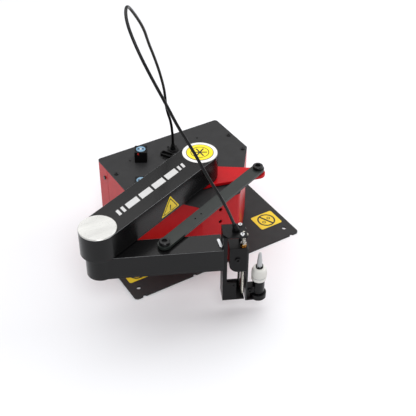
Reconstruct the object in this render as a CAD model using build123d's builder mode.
"""Bench-top SCARA robot arm with a parallelogram drive and a screw-driven tool head.

Frame: the origin is on the shoulder axis, at the underside of the base plate.
+X is to the machine's right, +Y to its back, +Z up.  Millimetres.
"""
import math
import os

from build123d import *

os.makedirs("parts", exist_ok=True)

# ---------------------------------------------------------------- driving sizes
BASE_W, BASE_D, BASE_T, BASE_R = 356.0, 230.0, 3.0, 7.0
FRONT_Y = -75.5                      # front edge of the base plate
BASE_CY = FRONT_Y + BASE_D / 2       # centre of the base plate
FIX_X, FIX_Y, FIX_R = 160.0, 91.0, 4.0   # fixing holes, from the plate's centre

CAB_HALF, CAB_FACE = 130.0, 41.0     # half widths of the cabinet and of its front face
CAB_Y0, CAB_Y1, CAB_YC = -70.5, 152.5, 41.5
CAB_TOP, SHEET = 148.0, 2.0          # underside of the top panel, sheet thickness
SEAM_Y = 112.0                       # where the red front shell meets the rear cover

ARM_L, ARM_DEG = 262.3, 200.7        # upper arm: shoulder to elbow, and its direction at rest
FORE_DEG = -25.2                     # direction of forearm and crank at rest
PIV = 105.0                          # crank length, and elbow to link pivot
ARM_Z0, ARM_Z1, ARM_RH, ARM_RE, WALL = 162.0, 208.0, 32.0, 31.0, 3.0
FORE_Z0, FORE_Z1, FORE_L, FORE_HW, FORE_R = 117.0, 160.5, 199.0, 21.0, 23.5
CRANK_Z0, CRANK_Z1 = 152.5, 158.0
LINK_Z0, LINK_Z1, LINK_W = 162.0, 167.0, 23.0

DECK_Z0, DECK_Z1 = 62.0, 66.0
MOTOR_X, MOTOR_Y, MOTOR_S, MOTOR_H = 75.0, 50.0, 57.0, 56.0
PUL_R, MPUL_R = 35.0, 10.0           # driven and motor pulleys, 3.5 to 1
BELT_GAP, BELT_T = 0.3, 1.5

INPUT_U, GEAR_SPACING, SCREW_V = 221.0, 13.0, -4.0
SCREW_U = INPUT_U + math.sqrt(GEAR_SPACING**2 - SCREW_V**2)
RODS = [(229.5, 9.0), (237.0, 9.0)]
TOOL_U, TOOL_R = 262.9, 10.5
BAR_U0, BAR_U1 = 239.2, 242.2        # upright bar that carries the tool
HEAD_Z0, HEAD_Z1 = 43.0, 184.0
GEAR_N, GEAR_TIP, GEAR_ROOT = 13, 7.3, 5.3
GLAND = (5.0, 105.5)
KNOB_A, KNOB_B, KNOB_S, KNOB_DEG = (-60.5, 109.9), (-104.8, 25.3), 23.0, -30.0
CABLE_R = 2.5


def direction(deg):
    return (math.cos(math.radians(deg)), math.sin(math.radians(deg)), 0)


ARM_DIR, FORE_DIR = direction(ARM_DEG), direction(FORE_DEG)
ELBOW = (ARM_L * ARM_DIR[0], ARM_L * ARM_DIR[1])
CRANK_PIN = (PIV * FORE_DIR[0], PIV * FORE_DIR[1])
FORE_PIN = (ELBOW[0] + CRANK_PIN[0], ELBOW[1] + CRANK_PIN[1])

ARM = Plane(origin=(0, 0, 0), x_dir=ARM_DIR, z_dir=(0, 0, 1))          # x along the upper arm
FORE = Plane(origin=(ELBOW[0], ELBOW[1], 0), x_dir=FORE_DIR, z_dir=(0, 0, 1))   # x along the forearm
CRANK = Plane(origin=(0, 0, 0), x_dir=FORE_DIR, z_dir=(0, 0, 1))
LINK = Plane(origin=(CRANK_PIN[0], CRANK_PIN[1], 0), x_dir=ARM_DIR, z_dir=(0, 0, 1))


def fore_point(u, v, z):
    """A point given along the forearm, across it and up."""
    p = FORE.from_local_coords((u, v, z))
    return (p.X, p.Y, p.Z)


FORE_ACROSS = (-FORE_DIR[1], FORE_DIR[0], 0)


def finish(name, part):
    part.label = name
    export_step(part, f"parts/{name}.step")


def cabinet_outline(inset):
    """Plan of the cabinet, moved in by a distance; the back stays open past its end."""
    t = inset
    run = math.hypot(CAB_HALF - CAB_FACE, CAB_YC - CAB_Y0)
    nx, ny = (CAB_YC - CAB_Y0) / run, -(CAB_HALF - CAB_FACE) / run   # outward normal, right diagonal
    # corner of the right wall and the diagonal
    x1 = CAB_HALF - t
    c = nx * CAB_HALF + ny * CAB_YC - t
    y1 = (c - nx * x1) / ny
    # corner of the diagonal and the front face
    y2 = CAB_Y0 + t
    x2 = (c - ny * y2) / nx
    return x1, y1, x2, y2


# ================================================================ base
with BuildPart() as base_plate:
    with BuildSketch(Plane.XY) as sk:
        with Locations((0, BASE_CY)):
            RectangleRounded(BASE_W, BASE_D, BASE_R)
            with GridLocations(2 * FIX_X, 2 * FIX_Y, 2, 2):
                Circle(FIX_R, mode=Mode.SUBTRACT)
        for x in (-FIX_X, -56, 56, FIX_X):
            with Locations((x, FRONT_Y)):
                SlotOverall(7, 6.9, rotation=90, mode=Mode.SUBTRACT)
    extrude(amount=BASE_T)
finish("base_plate", base_plate.part)

X1, Y1, X2, Y2 = cabinet_outline(0)
XI1, YI1, XI2, YI2 = cabinet_outline(SHEET)

with BuildPart() as cabinet_shell:
    with BuildSketch(Plane.XY.offset(BASE_T)):
        with BuildLine():
            FilletPolyline((X1, SEAM_Y), (X1, Y1), (X2, Y2), (-X2, Y2), (-X1, Y1), (-X1, SEAM_Y), radius=11)
            Line((-X1, SEAM_Y), (X1, SEAM_Y))
        make_face()
        with BuildLine():
            FilletPolyline((XI1, SEAM_Y), (XI1, YI1), (XI2, YI2), (-XI2, YI2), (-XI1, YI1), (-XI1, SEAM_Y), radius=9)
            Line((-XI1, SEAM_Y), (XI1, SEAM_Y))
        make_face(mode=Mode.SUBTRACT)
    extrude(amount=CAB_TOP - BASE_T)
    # two round holes in the front face, one above the other
    with BuildSketch(Plane.XZ.offset(-CAB_Y0 + 1)):
        with Locations((0, 128), (0, 101)):
            Circle(3.6)
    extrude(amount=-6, mode=Mode.SUBTRACT)
finish("cabinet_shell", cabinet_shell.part)

INLET_X, ROCKER_X, PORT_Z = 62.0, 20.0, 60.0
with BuildPart() as rear_cover:
    with BuildSketch(Plane.XY.offset(BASE_T)):
        with BuildLine():
            FilletPolyline((X1, SEAM_Y + 0.8), (X1, CAB_Y1), (-X1, CAB_Y1), (-X1, SEAM_Y + 0.8), radius=6)
            Line((-X1, SEAM_Y + 0.8), (X1, SEAM_Y + 0.8))
        make_face()
        with BuildLine():
            FilletPolyline((XI1, SEAM_Y + 0.8), (XI1, CAB_Y1 - SHEET), (-XI1, CAB_Y1 - SHEET), (-XI1, SEAM_Y + 0.8), radius=4)
            Line((-XI1, SEAM_Y + 0.8), (XI1, SEAM_Y + 0.8))
        make_face(mode=Mode.SUBTRACT)
    extrude(amount=CAB_TOP - BASE_T)
    # cut-outs for the power inlet and the rocker switch, and a vent grid
    with BuildSketch(Plane.XZ.offset(-CAB_Y1 - 1)):
        with Locations((INLET_X, PORT_Z)):
            Rectangle(28, 20.6)
        with Locations((ROCKER_X, PORT_Z)):
            Rectangle(22, 14.6)
        with Locations((-60, 80)):
            with GridLocations(0, 9, 1, 7):
                SlotOverall(70, 4)
    extrude(amount=6, mode=Mode.SUBTRACT)
    # clearance holes for the side screws
    with BuildSketch(Plane.YZ.offset(-CAB_HALF - 1)):
        with Locations((123.3, 126), (123.3, 34)):
            Circle(2.0)
    extrude(amount=2 * CAB_HALF + 2, mode=Mode.SUBTRACT)
finish("rear_cover", rear_cover.part)

TOP_SCREWS = [(-121, 92.5), (121, 92.5), (-119, 40), (119, 40)]
TOP_DOTS = [(64.4, 116.2), (-80.8, 116.3)]       # small countersunk screws, flush with the panel
with BuildPart() as top_panel:
    with BuildSketch(Plane.XY.offset(CAB_TOP)):
        with BuildLine():
            FilletPolyline((X1, CAB_Y1), (X1, Y1), (X2, Y2), (-X2, Y2), (-X1, Y1), (-X1, CAB_Y1), (X1, CAB_Y1), radius=6, close=False)
        make_face()
        Circle(29.0, mode=Mode.SUBTRACT)
        with Locations(GLAND):
            Circle(3.4, mode=Mode.SUBTRACT)
        with Locations(KNOB_A, KNOB_B):
            Circle(3.3, mode=Mode.SUBTRACT)
        with Locations(*TOP_SCREWS):
            Circle(2.2, mode=Mode.SUBTRACT)
        with Locations(*TOP_DOTS):
            Circle(2.6, mode=Mode.SUBTRACT)
    extrude(amount=2.0)
finish("top_panel", top_panel.part)

with BuildPart() as body_screws:
    for x, y in TOP_DOTS:
        with BuildSketch(Plane.XY.offset(143.0)):
            with Locations((x, y)):
                Circle(2.4)
        extrude(amount=6.8)
        with BuildSketch(Plane.XY.offset(149.8)):
            with Locations((x, y)):
                RegularPolygon(1.2, 6)
        extrude(amount=-1.5, mode=Mode.SUBTRACT)
    for x, y in TOP_SCREWS:
        with Locations((x, y, 0)):
            with BuildSketch(Plane.XY.offset(150.0)):
                with Locations((x, y)):
                    Circle(3.8)
                    RegularPolygon(1.5, 6, mode=Mode.SUBTRACT)
            extrude(amount=1.9)
        with BuildSketch(Plane.XY.offset(142.0)):
            with Locations((x, y)):
                Circle(2.0)
        extrude(amount=8.4)
    for s in (-1, 1):
        for z in (126, 34):
            with BuildSketch(Plane.YZ.offset(s * (CAB_HALF + 1.0))):
                with Locations((123.3, z)):
                    Circle(3.6)
            extrude(amount=1.0, both=True)
            with BuildSketch(Plane.YZ.offset(s * (CAB_HALF - 3.0))):
                with Locations((123.3, z)):
                    Circle(1.9)
            extrude(amount=3.2, both=True)
finish("body_screws", body_screws.part)

# deck that carries the two arm motors and the hub housing, on four posts
with BuildPart() as motor_deck:
    with BuildSketch(Plane.XY.offset(DECK_Z0)):
        with BuildLine():
            Polyline((-108, 86), (108, 86), (108, 26), (62, -38), (-62, -38), (-108, 26), (-108, 86))
        make_face()
        Circle(20, mode=Mode.SUBTRACT)
        with Locations((-MOTOR_X, MOTOR_Y), (MOTOR_X, MOTOR_Y)):
            Circle(14, mode=Mode.SUBTRACT)
    extrude(amount=DECK_Z1 - DECK_Z0)
    with BuildSketch(Plane.XY.offset(BASE_T)):
        with Locations((-100, 80), (100, 80), (-55, -31), (55, -31)):
            Circle(5)
    extrude(amount=DECK_Z0 - BASE_T)
finish("motor_deck", motor_deck.part)

with BuildPart() as hub_housing:
    with BuildSketch(Plane.XY.offset(DECK_Z1)):
        Circle(40)
        Circle(23.5, mode=Mode.SUBTRACT)
    extrude(amount=6)
    with BuildSketch(Plane.XY.offset(DECK_Z1)):
        Circle(28)
        Circle(23.5, mode=Mode.SUBTRACT)
    extrude(amount=150.6 - DECK_Z1)
finish("hub_housing", hub_housing.part)

with BuildPart() as hub_bearings:
    for z in (76, 134):
        with BuildSketch(Plane.XY.offset(z)):
            Circle(23.5)
            Circle(15.05, mode=Mode.SUBTRACT)
        extrude(amount=14)
finish("hub_bearings", hub_bearings.part)

for side, tag in ((-1, "shoulder_motor"), (1, "crank_motor")):
    with BuildPart() as motor:
        with BuildSketch(Plane.XY.offset(DECK_Z1)):
            with Locations((side * MOTOR_X, MOTOR_Y)):
                RectangleRounded(MOTOR_S, MOTOR_S, 5)
                Circle(4.3, mode=Mode.SUBTRACT)
        extrude(amount=MOTOR_H)
        with BuildSketch(Plane.XY.offset(DECK_Z1 + 34)):
            with Locations((side * MOTOR_X, MOTOR_Y)):
                Circle(20)
        extrude(amount=MOTOR_H - 34)
    finish(tag, motor.part)

for side, z0, tag in ((-1, 26, "shoulder_motor_pulley"), (1, 44, "crank_motor_pulley")):
    with BuildPart() as rotor:
        with BuildSketch(Plane.XY.offset(z0)):
            with Locations((side * MOTOR_X, MOTOR_Y)):
                Circle(MPUL_R)
        extrude(amount=12)
        with BuildSketch(Plane.XY.offset(z0)):
            with Locations((side * MOTOR_X, MOTOR_Y)):
                Circle(4)
        extrude(amount=DECK_Z1 + 30 - z0)
    finish(tag, rotor.part)

# two closed toothed belts, drawn smooth
BELT_SOLIDS = []
for side, z0 in ((-1, 27), (1, 45)):
    with BuildSketch(Plane.XY.offset(z0)) as belt_outer:
        Circle(PUL_R + BELT_GAP + BELT_T)
        with Locations((side * MOTOR_X, MOTOR_Y)):
            Circle(MPUL_R + BELT_GAP + BELT_T)
        make_hull()
    with BuildSketch(Plane.XY.offset(z0)) as belt_inner:
        Circle(PUL_R + BELT_GAP)
        with Locations((side * MOTOR_X, MOTOR_Y)):
            Circle(MPUL_R + BELT_GAP)
        make_hull()
    BELT_SOLIDS.append((belt_outer.sketch, belt_inner.sketch))
with BuildPart() as drive_belts:
    for outer, inner in BELT_SOLIDS:
        add(extrude(outer, amount=10, mode=Mode.PRIVATE) - extrude(inner, amount=10, mode=Mode.PRIVATE))
finish("drive_belts", drive_belts.part)

with BuildPart() as z_motor:
    with BuildSketch(Plane.XY.offset(108)):
        with Locations(GLAND):
            RectangleRounded(42, 42, 4)
    extrude(amount=CAB_TOP - 108)
    with BuildSketch(Plane.XY.offset(CAB_TOP)):
        with Locations(GLAND):
            Circle(2.5)
    extrude(amount=8)
finish("z_motor", z_motor.part)

with BuildPart() as controller_board:
    with BuildSketch(Plane.XY.offset(15)):
        with Locations((60, 112)):
            Rectangle(92, 54)
    extrude(amount=1.6)
    with BuildSketch(Plane.XY.offset(16.6)):
        with Locations((42, 116)):
            Rectangle(22, 22)
        with Locations((76, 118), (88, 118), (64, 118)):
            Rectangle(9, 14)
    extrude(amount=7)
    with BuildSketch(Plane.XY.offset(BASE_T)):
        with Locations((60, 112)):
            with GridLocations(82, 44, 2, 2):
                Circle(2.6)
    extrude(amount=12)
finish("controller_board", controller_board.part)

with BuildPart() as power_supply:
    with BuildSketch(Plane.XY.offset(BASE_T)):
        with Locations((-62, 118)):
            Rectangle(98, 48)
    extrude(amount=34)
    fillet(power_supply.edges().filter_by(Axis.Z), 2)
finish("power_supply", power_supply.part)

with BuildPart() as power_inlet:
    with BuildSketch(Plane.XZ.offset(-CAB_Y1)):
        with Locations((INLET_X, PORT_Z)):
            RectangleRounded(34, 26, 4)
    extrude(amount=-2.2)
    with BuildSketch(Plane.XZ.offset(-CAB_Y1)):
        with Locations((INLET_X, PORT_Z)):
            Rectangle(27, 20)
    extrude(amount=20)
    with BuildSketch(Plane.XZ.offset(-CAB_Y1 - 2.2)):
        with Locations((INLET_X, PORT_Z)):
            RectangleRounded(22, 15, 2.5)
    extrude(amount=14, mode=Mode.SUBTRACT)
    with BuildSketch(Plane.XZ.offset(-CAB_Y1 + 11.8)):
        with Locations((INLET_X, PORT_Z + 2), (INLET_X - 6.5, PORT_Z - 2.5), (INLET_X + 6.5, PORT_Z - 2.5)):
            Rectangle(2, 4)
    extrude(amount=-6)
    # square bezel of the rocker switch, with its open middle
    with BuildSketch(Plane.XZ.offset(-CAB_Y1)):
        with Locations((ROCKER_X, PORT_Z)):
            RectangleRounded(26, 19, 2.5)
            Rectangle(20, 12.6, mode=Mode.SUBTRACT)
    extrude(amount=-1.8)
    with BuildSketch(Plane.XZ.offset(-CAB_Y1)):
        with Locations((ROCKER_X, PORT_Z)):
            Rectangle(22, 14.4)
            Rectangle(20, 12.6, mode=Mode.SUBTRACT)
    extrude(amount=14)
finish("power_inlet", power_inlet.part)

ROCK_Y = CAB_Y1 - 4.0
with BuildPart() as power_rocker:
    with BuildSketch(Plane.XZ.offset(-ROCK_Y)):
        with Locations((ROCKER_X, PORT_Z)):
            Rectangle(17.6, 11.6)
    extrude(amount=-5.6)
    with BuildSketch(Plane.XY.offset(PORT_Z - 5.8)):
        with BuildLine():
            Polyline((ROCKER_X - 8.8, ROCK_Y + 5.7), (ROCKER_X, ROCK_Y + 3.6), (ROCKER_X + 8.8, ROCK_Y + 5.7), (ROCKER_X - 8.8, ROCK_Y + 5.7))
        make_face()
    extrude(amount=11.6, mode=Mode.SUBTRACT)
    # pivot pins, above and below
    with BuildSketch(Plane.XY.offset(PORT_Z - 6.2)):
        with Locations((ROCKER_X, ROCK_Y + 1)):
            Circle(1.2)
    extrude(amount=12.4)
finish("power_rocker", power_rocker.part)

with BuildPart() as cable_gland:
    with BuildSketch(Plane.XY.offset(150)):
        with Locations(GLAND):
            Circle(8.75)
    extrude(amount=3.0)
    chamfer(cable_gland.faces().sort_by(Axis.Z)[-1].edges(), 0.5)
    with BuildSketch(Plane.XY.offset(153.0)):
        with Locations(GLAND):
            RegularPolygon(5.6, 6)
    extrude(amount=4.0)
    with BuildSketch(Plane.XY.offset(157.0)):
        with Locations(GLAND):
            Circle(4.1)
    extrude(amount=7.0, taper=8)
    with BuildSketch(Plane.XY.offset(150)):
        with Locations(GLAND):
            Circle(3.0)
    extrude(amount=8, mode=Mode.SUBTRACT)
    # its two fixing screws beside the flange
    with BuildSketch(Plane.XY.offset(150)):
        with Locations((GLAND[0] + 10.4, GLAND[1] + 7.4), (GLAND[0] - 3.2, GLAND[1] + 13.0)):
            Circle(1.8)
            RegularPolygon(0.9, 6, mode=Mode.SUBTRACT)
    extrude(amount=1.2)
finish("cable_gland", cable_gland.part)

CAP = (-14.0, 94.5)
CAP_DEG = math.degrees(math.atan2(CAP[1] - GLAND[1], CAP[0] - GLAND[0]))
CAP_LEN = math.hypot(CAP[0] - GLAND[0], CAP[1] - GLAND[1])
STRAP = Plane(origin=(GLAND[0], GLAND[1], 0), x_dir=direction(CAP_DEG), z_dir=(0, 0, 1))
with BuildPart() as dust_cap:
    with BuildSketch(STRAP.offset(150.3)):
        Circle(10.6)
        with Locations((CAP_LEN / 2 + 3, 0)):
            Rectangle(CAP_LEN - 10, 9)
        Circle(9.2, mode=Mode.SUBTRACT)
        with Locations((CAP_LEN, 0)):
            RectangleRounded(12, 25, 3)
    extrude(amount=1.1)
    with BuildSketch(STRAP.offset(151.4)):
        with Locations((CAP_LEN, 0)):
            RectangleRounded(12, 25, 3)
            RectangleRounded(8.4, 21.4, 1.6, mode=Mode.SUBTRACT)
    extrude(amount=4.2)
    # pull tab on the far side
    with BuildSketch(STRAP.offset(150.3)):
        with Locations((CAP_LEN + 8.5, 0)):
            RectangleRounded(7, 8, 2)
            Circle(1.6, mode=Mode.SUBTRACT)
    extrude(amount=1.1)
finish("dust_cap", dust_cap.part)

for (kx, ky), tag in ((KNOB_A, "knob_a"), (KNOB_B, "knob_b")):
    square = Plane(origin=(kx, ky, 0), x_dir=direction(KNOB_DEG), z_dir=(0, 0, 1))
    with BuildPart() as knob:
        with BuildSketch(square.offset(150.6)):
            RectangleRounded(KNOB_S, KNOB_S, 1.2)
        extrude(amount=22.6)
        chamfer(knob.faces().sort_by(Axis.Z)[-1].edges(), 0.6)
        with BuildSketch(square.offset(173.2)):
            Circle(9.4)
        extrude(amount=-1.6, mode=Mode.SUBTRACT)
        with BuildSketch(square.offset(171.6)):
            Circle(9.0)
        extrude(amount=1.2)
        with BuildSketch(square.offset(139)):
            Circle(3)
        extrude(amount=11.6)
    finish(tag, knob.part)

# ================================================================ upper arm
with BuildSketch(ARM.offset(ARM_Z0 + 3)) as arm_outer:
    Circle(ARM_RH)
    with Locations((ARM_L, 0)):
        Circle(ARM_RE)
    make_hull()
with BuildSketch(ARM.offset(ARM_Z0 + 3)) as arm_inner:
    Circle(ARM_RH - WALL)
    with Locations((ARM_L, 0)):
        Circle(ARM_RE - WALL)
    make_hull()
with BuildSketch(ARM.offset(ARM_Z0)) as arm_floor:
    Circle(ARM_RH)
    with Locations((ARM_L, 0)):
        Circle(ARM_RE)
    make_hull()

with BuildPart() as upper_arm_shell:
    add(arm_outer.sketch)
    extrude(amount=ARM_Z1 - ARM_Z0 - 3)
    fillet(upper_arm_shell.faces().sort_by(Axis.Z)[-1].edges(), 1.0)
    add(arm_inner.sketch)
    extrude(amount=ARM_Z1 - ARM_Z0 - 6, mode=Mode.SUBTRACT)
finish("upper_arm_shell", upper_arm_shell.part)

ARM_SCREWS = [(38, 24), (38, -24), (131, 24), (131, -24), (224, 24), (224, -24)]
with BuildPart() as upper_arm_cover:
    add(arm_floor.sketch)
    extrude(amount=3)
    with BuildSketch(ARM.offset(CRANK_Z1 + 0.6)):
        Circle(31.4)
    extrude(amount=ARM_Z0 - CRANK_Z1 - 0.6)
    with BuildSketch(ARM.offset(FORE_Z1 + 0.6)):
        with Locations((ARM_L, 0)):
            Circle(22)
    extrude(amount=ARM_Z0 - FORE_Z1 - 0.6)
    with BuildSketch(ARM.offset(CRANK_Z1)):
        Circle(8.5)
        with Locations((ARM_L, 0)):
            Circle(12)
    extrude(amount=10, mode=Mode.SUBTRACT)
    with BuildSketch(ARM.offset(ARM_Z0)):
        with Locations(*ARM_SCREWS):
            Circle(1.7)
    extrude(amount=3, mode=Mode.SUBTRACT)
finish("upper_arm_cover", upper_arm_cover.part)

with BuildPart() as arm_screws:
    with BuildSketch(ARM.offset(ARM_Z0 - 0.8)):
        with Locations(*ARM_SCREWS):
            Circle(2.8)
    extrude(amount=0.8)
    with BuildSketch(ARM.offset(ARM_Z0)):
        with Locations(*ARM_SCREWS):
            Circle(1.6)
    extrude(amount=9)
finish("arm_screws", arm_screws.part)

with BuildPart() as hub_disc:
    with BuildSketch(Plane.XY.offset(ARM_Z1)):
        Circle(31.0)
    extrude(amount=1.0)
finish("hub_disc", hub_disc.part)

with BuildPart() as hub_badge:
    with BuildSketch(Plane.XY.offset(ARM_Z1 + 1.0)):
        Circle(23.5)
    extrude(amount=0.5)
finish("hub_badge", hub_badge.part)

with BuildPart() as elbow_cap:
    with BuildSketch(ARM.offset(ARM_Z1)):
        with Locations((ARM_L, 0)):
            Circle(31.0)
    extrude(amount=2.0)
    chamfer(elbow_cap.faces().sort_by(Axis.Z)[-1].edges(), 0.5)
finish("elbow_cap", elbow_cap.part)

with BuildPart() as shoulder_shaft:
    with BuildSketch(Plane.XY.offset(24)):
        Circle(8.5)
    extrude(amount=ARM_Z0 + 3 - 24)
    with BuildSketch(Plane.XY.offset(ARM_Z0 + 3)):
        Circle(26)
    extrude(amount=9)
    with BuildSketch(Plane.XY.offset(ARM_Z0 + 12)):
        Circle(12)
    extrude(amount=18)
finish("shoulder_shaft", shoulder_shaft.part)

with BuildPart() as shoulder_pulley:
    with BuildSketch(Plane.XY.offset(26)):
        Circle(PUL_R)
        Circle(8.5, mode=Mode.SUBTRACT)
    extrude(amount=12)
finish("shoulder_pulley", shoulder_pulley.part)

with BuildPart() as elbow_housing:
    with BuildSketch(ARM.offset(ARM_Z0 + 3)):
        with Locations((ARM_L, 0)):
            Circle(27)
            Circle(16, mode=Mode.SUBTRACT)
    extrude(amount=4)
    with BuildSketch(ARM.offset(ARM_Z0 + 3)):
        with Locations((ARM_L, 0)):
            Circle(21)
            Circle(16, mode=Mode.SUBTRACT)
    extrude(amount=33)
finish("elbow_housing", elbow_housing.part)

with BuildPart() as elbow_bearings:
    for z in (168, 186):
        with BuildSketch(ARM.offset(z)):
            with Locations((ARM_L, 0)):
                Circle(16)
                Circle(7.05, mode=Mode.SUBTRACT)
        extrude(amount=10)
finish("elbow_bearings", elbow_bearings.part)

# ================================================================ crank
with BuildPart() as crank_plate:
    with BuildSketch(CRANK.offset(CRANK_Z0)):
        with BuildLine():
            l1 = CenterArc((0, 0), 33, 60, 240)
            l2 = CenterArc((PIV, 0), 13.5, -78, 156)
            Line(l1 @ 0, l2 @ 1)
            Line(l1 @ 1, l2 @ 0)
        make_face()
        Circle(11.5, mode=Mode.SUBTRACT)
        with Locations((PIV, 0)):
            Circle(4, mode=Mode.SUBTRACT)
    extrude(amount=CRANK_Z1 - CRANK_Z0)
    fillet(crank_plate.faces().sort_by(Axis.Z)[-1].edges().filter_by(GeomType.LINE), 0.8)
finish("crank_plate", crank_plate.part)

with BuildPart() as crank_shaft:
    with BuildSketch(Plane.XY.offset(40)):
        Circle(15)
        Circle(11.5, mode=Mode.SUBTRACT)
    extrude(amount=CRANK_Z0 - 40)
    with BuildSketch(Plane.XY.offset(151.2)):
        Circle(22)
        Circle(11.5, mode=Mode.SUBTRACT)
    extrude(amount=CRANK_Z0 - 151.2)
finish("crank_shaft", crank_shaft.part)

with BuildPart() as crank_pulley:
    with BuildSketch(Plane.XY.offset(44)):
        Circle(PUL_R)
        Circle(15, mode=Mode.SUBTRACT)
    extrude(amount=12)
finish("crank_pulley", crank_pulley.part)

with BuildPart() as crank_bushes:
    for z in (44, 136):
        with BuildSketch(Plane.XY.offset(z)):
            Circle(11.5)
            Circle(8.55, mode=Mode.SUBTRACT)
        extrude(amount=14)
finish("crank_bushes", crank_bushes.part)

for plane, u, z_low, z_face, tag in ((CRANK, PIV, CRANK_Z0, CRANK_Z1, "crank_pivot_bolt"), (FORE, PIV, FORE_Z1 - 8, FORE_Z1, "fore_pivot_bolt")):
    with BuildPart() as bolt:
        with BuildSketch(plane.offset(z_low)):
            with Locations((u, 0)):
                Circle(4)
        extrude(amount=LINK_Z1 + 0.3 - z_low)
        with BuildSketch(plane.offset(z_face)):
            with Locations((u, 0)):
                Circle(8.2)
        extrude(amount=LINK_Z0 - 0.3 - z_face)
        with BuildSketch(plane.offset(LINK_Z1 + 0.3)):
            with Locations((u, 0)):
                Circle(9.2)
        extrude(amount=5.7)
        chamfer(bolt.faces().sort_by(Axis.Z)[-1].edges(), 0.8)
        with BuildSketch(plane.offset(LINK_Z1 + 6.0)):
            with Locations((u, 0)):
                RegularPolygon(5.2, 6)
        extrude(amount=-3.6, mode=Mode.SUBTRACT)
    finish(tag, bolt.part)

# ================================================================ link
with BuildPart() as link_bar:
    with BuildSketch(LINK.offset(LINK_Z0)):
        with Locations((ARM_L / 2, 0)):
            SlotCenterToCenter(ARM_L, LINK_W)
        with Locations((0, 0), (ARM_L, 0)):
            Circle(6, mode=Mode.SUBTRACT)
        with Locations((166, 0), (182, 0)):
            Circle(1.6, mode=Mode.SUBTRACT)
    extrude(amount=LINK_Z1 - LINK_Z0)
finish("link_bar", link_bar.part)

with BuildPart() as link_bushes:
    for u, r in ((0, 4.05), (ARM_L, 4.3)):
        with BuildSketch(LINK.offset(LINK_Z0)):
            with Locations((u, 0)):
                Circle(6)
                Circle(r, mode=Mode.SUBTRACT)
        extrude(amount=LINK_Z1 - LINK_Z0)
finish("link_bushes", link_bushes.part)

# ================================================================ forearm
with BuildPart() as forearm_shell:
    with BuildSketch(FORE.offset(FORE_Z0 + 3)):
        Circle(FORE_R)
        with Locations((FORE_L / 2, 0)):
            Rectangle(FORE_L, 2 * FORE_HW)
    extrude(amount=FORE_Z1 - FORE_Z0 - 3)
    fillet(forearm_shell.faces().sort_by(Axis.Z)[-1].edges(), 1.2)
    with BuildSketch(FORE.offset(FORE_Z0 + 3)):
        Circle(FORE_R - WALL)
        with Locations((FORE_L / 2 - 1.5, 0)):
            Rectangle(FORE_L - 3, 2 * (FORE_HW - WALL))
    extrude(amount=FORE_Z1 - FORE_Z0 - 6, mode=Mode.SUBTRACT)
    with BuildSketch(FORE.offset(FORE_Z1)):
        Circle(7)
        with Locations((PIV, 0)):
            Circle(4)
    extrude(amount=-4, mode=Mode.SUBTRACT)
    # tapped holes for the head's four screws
    with BuildSketch(Plane(origin=fore_point(FORE_L, 0, 0), x_dir=FORE_ACROSS, z_dir=FORE_DIR)):
        with Locations((-8, 128), (8, 128), (-8, 150), (8, 150)):
            Circle(1.9)
    extrude(amount=-4, mode=Mode.SUBTRACT)
finish("forearm_shell", forearm_shell.part)

with BuildPart() as forearm_cover:
    with BuildSketch(FORE.offset(FORE_Z0)):
        Circle(FORE_R)
        with Locations((FORE_L / 2, 0)):
            Rectangle(FORE_L, 2 * FORE_HW)
    extrude(amount=3)
finish("forearm_cover", forearm_cover.part)

with BuildPart() as elbow_shaft:
    with BuildSketch(FORE.offset(FORE_Z0 + 3)):
        Circle(17)
    extrude(amount=14)
    with BuildSketch(FORE.offset(FORE_Z0 + 17)):
        Circle(7)
    extrude(amount=198 - FORE_Z0 - 17)
finish("elbow_shaft", elbow_shaft.part)

# bent sheet bracket of the tool head: side wall, front flange, foot
with BuildPart() as z_frame:
    with BuildSketch(FORE.offset(HEAD_Z0)):
        with Locations((FORE_L + 1.5, 0)):
            Rectangle(3, 30)
    extrude(amount=HEAD_Z1 - 3 - HEAD_Z0)
    with BuildSketch(FORE.offset(HEAD_Z0)):
        with Locations((FORE_L + 3 + 2.0, -13.5)):
            Rectangle(4, 3)
    extrude(amount=HEAD_Z1 - 3 - HEAD_Z0)
    with BuildSketch(FORE.offset(HEAD_Z0)):
        with Locations((FORE_L + 18.5, 0)):
            Rectangle(37, 30)
    extrude(amount=3)
    with BuildSketch(FORE.offset(HEAD_Z0)):
        with Locations((FORE_L + 11.5, -13.5)):
            Rectangle(23, 3)
    extrude(amount=39)
    with BuildSketch(FORE.offset(HEAD_Z0)):
        with Locations((FORE_L + 18.5, 13.5)):
            Rectangle(37, 3)
    extrude(amount=20)
    # bore for the screw's lower journal
    with BuildSketch(FORE.offset(HEAD_Z0)):
        with Locations((SCREW_U, SCREW_V)):
            Circle(2.05)
    extrude(amount=3, mode=Mode.SUBTRACT)
    # hole in the foot's front face
    with BuildSketch(Plane(origin=fore_point(217.5, -15, 76), x_dir=FORE_DIR, z_dir=(-FORE_ACROSS[0], -FORE_ACROSS[1], 0))):
        Circle(1.8)
    extrude(amount=-3, mode=Mode.SUBTRACT)
    # clearance holes for the four mounting screws
    with BuildSketch(Plane(origin=fore_point(FORE_L + 3, 0, 0), x_dir=FORE_ACROSS, z_dir=FORE_DIR)):
        with Locations((-8, 128), (8, 128), (-8, 150), (8, 150)):
            Circle(2.2)
    extrude(amount=-3, mode=Mode.SUBTRACT)
finish("z_frame", z_frame.part)

with BuildPart() as z_top_plate:
    with BuildSketch(FORE.offset(HEAD_Z1 - 3)):
        with BuildLine():
            Polyline((199, 17), (237.6, 17), (237.6, -17), (206, -17), (199, -9), (199, 17))
        make_face()
        with Locations((SCREW_U, SCREW_V), (INPUT_U, 0)):
            Circle(2.05, mode=Mode.SUBTRACT)
    extrude(amount=3)
finish("z_top_plate", z_top_plate.part)

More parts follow.
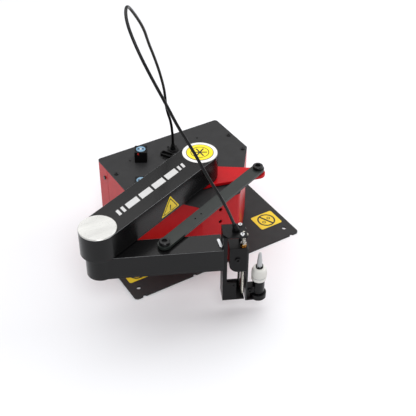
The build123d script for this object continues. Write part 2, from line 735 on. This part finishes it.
with BuildPart() as z_screws:
    with BuildSketch(FORE.offset(HEAD_Z1)):
        with Locations((229.5, 12), (229.8, -13)):
            Circle(3.4)
            RegularPolygon(1.5, 6, mode=Mode.SUBTRACT)
    extrude(amount=2.6)
    with BuildSketch(Plane(origin=fore_point(FORE_L + 3, 0, 0), x_dir=FORE_ACROSS, z_dir=FORE_DIR)):
        with Locations((-8, 128), (8, 128), (-8, 150), (8, 150)):
            Circle(3.4)
            RegularPolygon(1.5, 6, mode=Mode.SUBTRACT)
    extrude(amount=2.4)
    with BuildSketch(Plane(origin=fore_point(FORE_L + 3, 0, 0), x_dir=FORE_ACROSS, z_dir=FORE_DIR)):
        with Locations((-8, 128), (8, 128), (-8, 150), (8, 150)):
            Circle(1.9)
    extrude(amount=-6)
finish("z_screws", z_screws.part)

with BuildPart() as guide_rods:
    with BuildSketch(FORE.offset(HEAD_Z0 + 3)):
        with Locations(*RODS):
            Circle(2.0)
    extrude(amount=HEAD_Z1 - 6 - HEAD_Z0)
finish("guide_rods", guide_rods.part)

CLIP_DEG = math.degrees(math.atan2(-21, 3.5))
with BuildPart() as end_clip:
    with BuildSketch(FORE.offset(FORE_Z1)):
        with Locations((194.6, -3)):
            SlotOverall(22, 6.0, rotation=CLIP_DEG)
    extrude(amount=2.2)
    fillet(end_clip.faces().sort_by(Axis.Z)[-1].edges(), 0.9)
finish("end_clip", end_clip.part)

# ---------------------------------------------------------------- flexible drive cable
# Route of the whole cable, gland to tool head.  The two halves meet on its rising side.
ROUTE = [
    (5.0, 105.5, 164.0), (5.0, 105.5, 204.0), (-8.6, 103.3, 246.7), (-15.6, 93.0, 288.6),
    (-27.5, 84.7, 330.5), (-41.9, 77.7, 372.4), (-58.7, 65.6, 410.0), (-74.3, 49.2, 447.1),
    (-97.2, 34.3, 484.8), (-121.3, 13.1, 515.7), (-139.8, -21.2, 506.8), (-138.3, -51.5, 472.3),
    (-129.2, -75.5, 434.5), (-119.4, -97.9, 400.1), (-109.8, -118.8, 364.5), (-94.1, -134.4, 327.6),
    (-80.0, -154.0, 284.0), (-60.5, -179.0, 236.0), (-48.6, -185.9, 197.0),
]
SPLIT = 7                            # the halves meet half way from point SPLIT to the next


def corner_radii(points, first_run=None, last_run=None):
    """Arc radius at each corner: 0.45 of the shorter run over the tangent of half the turn."""
    out = []
    for i in range(1, len(points) - 1):
        a, b = Vector(points[i]) - Vector(points[i - 1]), Vector(points[i + 1]) - Vector(points[i])
        la, lb = a.length, b.length
        if i == 1 and first_run:
            la = first_run
        if i == len(points) - 2 and last_run:
            lb = last_run
        out.append(0.45 * min(la, lb) / math.tan(math.radians(a.get_angle(b)) / 2))
    return out


top_run = (Vector(ROUTE[SPLIT + 1]) - Vector(ROUTE[SPLIT])).length
MEET = tuple((Vector(ROUTE[SPLIT]) + Vector(ROUTE[SPLIT + 1])) * 0.5)
REAR = ROUTE[: SPLIT + 1] + [MEET]
FRONT = [MEET] + ROUTE[SPLIT + 1:]
for tag, points, radii in (
    ("cable_rear", REAR, corner_radii(REAR, last_run=top_run)),
    ("cable_front", FRONT, corner_radii(FRONT, first_run=top_run)),
):
    print(tag, "radii", [round(r, 1) for r in radii], "runs", [round((Vector(points[i + 1]) - Vector(points[i])).length, 1) for i in range(len(points) - 1)])
    with BuildPart() as tube:
        with BuildLine() as path:
            FilletPolyline(*points, radius=radii)
        with BuildSketch(Plane(origin=points[0], z_dir=Vector(points[1]) - Vector(points[0]))):
            Circle(CABLE_R)
        sweep()
    length = sum(e.length for e in path.edges())
    print(tag, "length", round(length, 1), "volume", round(tube.part.volume, 1), "section x length", round(math.pi * CABLE_R**2 * length, 1))
    finish(tag, tube.part)

# boot that takes the cable into the head, leaning along the cable's last run
END, BEFORE = Vector(ROUTE[-1]), Vector(ROUTE[-2])
LEAN = (BEFORE - END).normalized()
BOOT_FOOT = END - LEAN * 11.5
with BuildPart() as head_boot:
    with BuildSketch(FORE.offset(HEAD_Z1)):
        with Locations((INPUT_U, 0)):
            Circle(6.4)
    extrude(amount=4.2)
    with BuildSketch(Plane(origin=tuple(BOOT_FOOT), z_dir=tuple(LEAN))):
        Circle(5.2)
    extrude(amount=11.5, taper=7)
    with BuildSketch(FORE.offset(HEAD_Z1 - 10)):
        with Locations((INPUT_U, 0)):
            Circle(20)
    extrude(amount=10, mode=Mode.SUBTRACT)
    with BuildSketch(FORE.offset(HEAD_Z1)):
        with Locations((INPUT_U, 0)):
            Circle(2.4)
    extrude(amount=4, mode=Mode.SUBTRACT)
finish("head_boot", head_boot.part)

# ================================================================ screw and gears
MESH_DEG = math.degrees(math.atan2(SCREW_V, SCREW_U - INPUT_U))      # line of centres, along the forearm
with BuildSketch(Plane.XY) as gear_plan:
    Circle(GEAR_ROOT)
    with BuildLine():
        for i in range(GEAR_N):
            a = 360 / GEAR_N * i + MESH_DEG
            pts = [(GEAR_ROOT - 0.5, -7.5), (GEAR_ROOT, -7.5), (GEAR_TIP, -2.8), (GEAR_TIP, 2.8), (GEAR_ROOT, 7.5), (GEAR_ROOT - 0.5, 7.5)]
            xy = [(r * math.cos(math.radians(a + d)), r * math.sin(math.radians(a + d))) for r, d in pts]
            Polyline(*xy, xy[0])
    make_face()

with BuildPart() as lead_screw:
    with BuildSketch(FORE.offset(HEAD_Z0 + 0.4)):
        with Locations((SCREW_U, SCREW_V)):
            Circle(2)
    extrude(amount=HEAD_Z1 - HEAD_Z0 - 0.8)
    with BuildSketch(FORE.offset(HEAD_Z0 + 3.4)):
        with Locations((SCREW_U, SCREW_V)):
            Circle(3)
    extrude(amount=HEAD_Z1 - HEAD_Z0 - 6.8)
    with BuildSketch(FORE.offset(HEAD_Z1 - 7.0)):
        with Locations((SCREW_U, SCREW_V)):
            add(gear_plan.sketch)
    extrude(amount=3.4)
finish("lead_screw", lead_screw.part)

with BuildPart() as input_gear:
    with BuildSketch(FORE.offset(HEAD_Z1 - 7.4)):
        with Locations((INPUT_U, 0)):
            Circle(2)
    extrude(amount=11)
    with BuildSketch(FORE.offset(HEAD_Z1 - 7.0)):
        with Locations((INPUT_U, 0)):
            add(gear_plan.sketch)
    extrude(amount=3.4)
finish("input_gear", input_gear.part)

# ================================================================ tool slide
CAR_Z0, CAR_Z1 = 103.0, 154.0
with BuildPart() as carriage_block:
    with BuildSketch(Plane(origin=fore_point(0, 14, 0), x_dir=FORE_DIR, z_dir=(-FORE_ACROSS[0], -FORE_ACROSS[1], 0))) as front:
        with BuildLine():
            Line((224, CAR_Z0), (BAR_U0, CAR_Z0))
            Line((BAR_U0, CAR_Z0), (BAR_U0, CAR_Z1))
            Line((BAR_U0, CAR_Z1), (210, CAR_Z1))
            Line((210, CAR_Z1), (210, CAR_Z0 + 16))
            RadiusArc((210, CAR_Z0 + 16), (224, CAR_Z0), -16)
        make_face()
    extrude(amount=25.5)
    with BuildSketch(FORE.offset(CAR_Z0 - 1)):
        with Locations(*RODS):
            Circle(2.06)
        with Locations((SCREW_U, SCREW_V)):
            Circle(3.8)
    extrude(amount=60, mode=Mode.SUBTRACT)
    # dished recess on the upper front, as on a cast bracket
    with BuildSketch(FORE.offset(CAR_Z1 - 13)):
        with Locations((SCREW_U, SCREW_V)):
            Circle(5)
    extrude(amount=13, mode=Mode.SUBTRACT)
    # screw head standing on the front face
    with BuildSketch(Plane(origin=fore_point(223.6, -11.5, 129.5), x_dir=FORE_DIR, z_dir=(-FORE_ACROSS[0], -FORE_ACROSS[1], 0))):
        Circle(4.6)
        RegularPolygon(2.2, 6, mode=Mode.SUBTRACT)
    extrude(amount=2.2)
finish("carriage_block", carriage_block.part)

with BuildPart() as lead_nut:
    with BuildSketch(FORE.offset(CAR_Z1 - 13)):
        with Locations((SCREW_U, SCREW_V)):
            Circle(5)
            Circle(3.06, mode=Mode.SUBTRACT)
    extrude(amount=13)
    with BuildSketch(FORE.offset(CAR_Z1)):
        with Locations((SCREW_U, SCREW_V)):
            RegularPolygon(4.9, 6)
            Circle(3.06, mode=Mode.SUBTRACT)
    extrude(amount=6)
finish("lead_nut", lead_nut.part)

with BuildPart() as slide_bar:
    with BuildSketch(FORE.offset(34)):
        with Locations(((BAR_U0 + BAR_U1) / 2, 0)):
            Rectangle(BAR_U1 - BAR_U0, 20)
    extrude(amount=116)
    fillet(slide_bar.edges().filter_by(lambda e: abs(e.length - 3) < 0.01 and e.center().Z > 149), 3)
finish("slide_bar", slide_bar.part)

with BuildPart() as tool_clamp:
    with BuildSketch(FORE.offset(34)):
        with BuildLine():
            Polyline((BAR_U1, -10), (254, -10), (254, 10), (BAR_U1, 10), (BAR_U1, -10))
        make_face()
        with Locations((TOOL_U, 0)):
            Circle(TOOL_R + 3.1)
            Circle(TOOL_R, mode=Mode.SUBTRACT)
    extrude(amount=3)
    with BuildSketch(FORE.offset(34)):
        with Locations((TOOL_U, 0)):
            Circle(TOOL_R + 3.1)
            Circle(TOOL_R, mode=Mode.SUBTRACT)
    extrude(amount=10)
    with BuildSketch(FORE.offset(48)):
        with Locations(((BAR_U1 + 256) / 2, 0)):
            Rectangle(256 - BAR_U1, 14)
        with Locations((TOOL_U, 0)):
            Circle(TOOL_R, mode=Mode.SUBTRACT)
    extrude(amount=13)
    # pinch screw across the front of the upper block
    with BuildSketch(Plane(origin=fore_point(247.0, -7, 54.5), x_dir=FORE_DIR, z_dir=(-FORE_ACROSS[0], -FORE_ACROSS[1], 0))):
        Circle(4.2)
        RegularPolygon(2.0, 6, mode=Mode.SUBTRACT)
    extrude(amount=2.6)
finish("tool_clamp", tool_clamp.part)

TOOL = Plane(origin=fore_point(TOOL_U, 0, 0), x_dir=FORE_DIR, z_dir=(0, 0, 1))
with BuildPart() as tool_body:
    with BuildSketch(TOOL.offset(34)):
        Circle(TOOL_R)
    extrude(amount=40)
    with BuildSketch(TOOL.offset(34)):
        Circle(4)
    extrude(amount=-3, taper=30)
    with BuildSketch(TOOL.offset(74)):
        Circle(6.4)
    extrude(amount=26.5)
    with BuildSketch(TOOL.offset(100.5)):
        Circle(6.4)
        Circle(5.0, mode=Mode.SUBTRACT)
    extrude(amount=3.6)
    # crown of eight collet teeth round the cone
    with BuildSketch(TOOL.offset(101.5)):
        with PolarLocations(5.7, 8):
            Rectangle(3.4, 2.0)
    extrude(amount=3.5, mode=Mode.SUBTRACT)
finish("tool_body", tool_body.part)

with BuildPart() as tool_collar:
    with BuildSketch(Plane(origin=fore_point(TOOL_U, 0, 0), x_dir=FORE_DIR, z_dir=(-FORE_ACROSS[0], -FORE_ACROSS[1], 0))):
        with BuildLine():
            Polyline((6.4, 74), (11.2, 74), (12.6, 76.5), (12.9, 80.5), (12.3, 81.4), (12.9, 82.6), (12.8, 89), (12.1, 94.5), (10.6, 98.4), (8.8, 99.8), (6.4, 99.8), (6.4, 74))
        make_face()
    revolve(axis=Axis(origin=fore_point(TOOL_U, 0, 0), direction=(0, 0, 1)))
finish("tool_collar", tool_collar.part)

with BuildPart() as tool_cone:
    with BuildSketch(Plane(origin=fore_point(TOOL_U, 0, 0), x_dir=FORE_DIR, z_dir=(-FORE_ACROSS[0], -FORE_ACROSS[1], 0))):
        with BuildLine():
            Polyline((0, 100.5), (4.8, 100.5), (4.8, 104), (4.5, 110), (3.4, 124), (2.5, 130.5), (1.5, 132.3), (0, 132.5), (0, 100.5))
        make_face()
    revolve(axis=Axis(origin=fore_point(TOOL_U, 0, 0), direction=(0, 0, 1)))
finish("tool_cone", tool_cone.part)
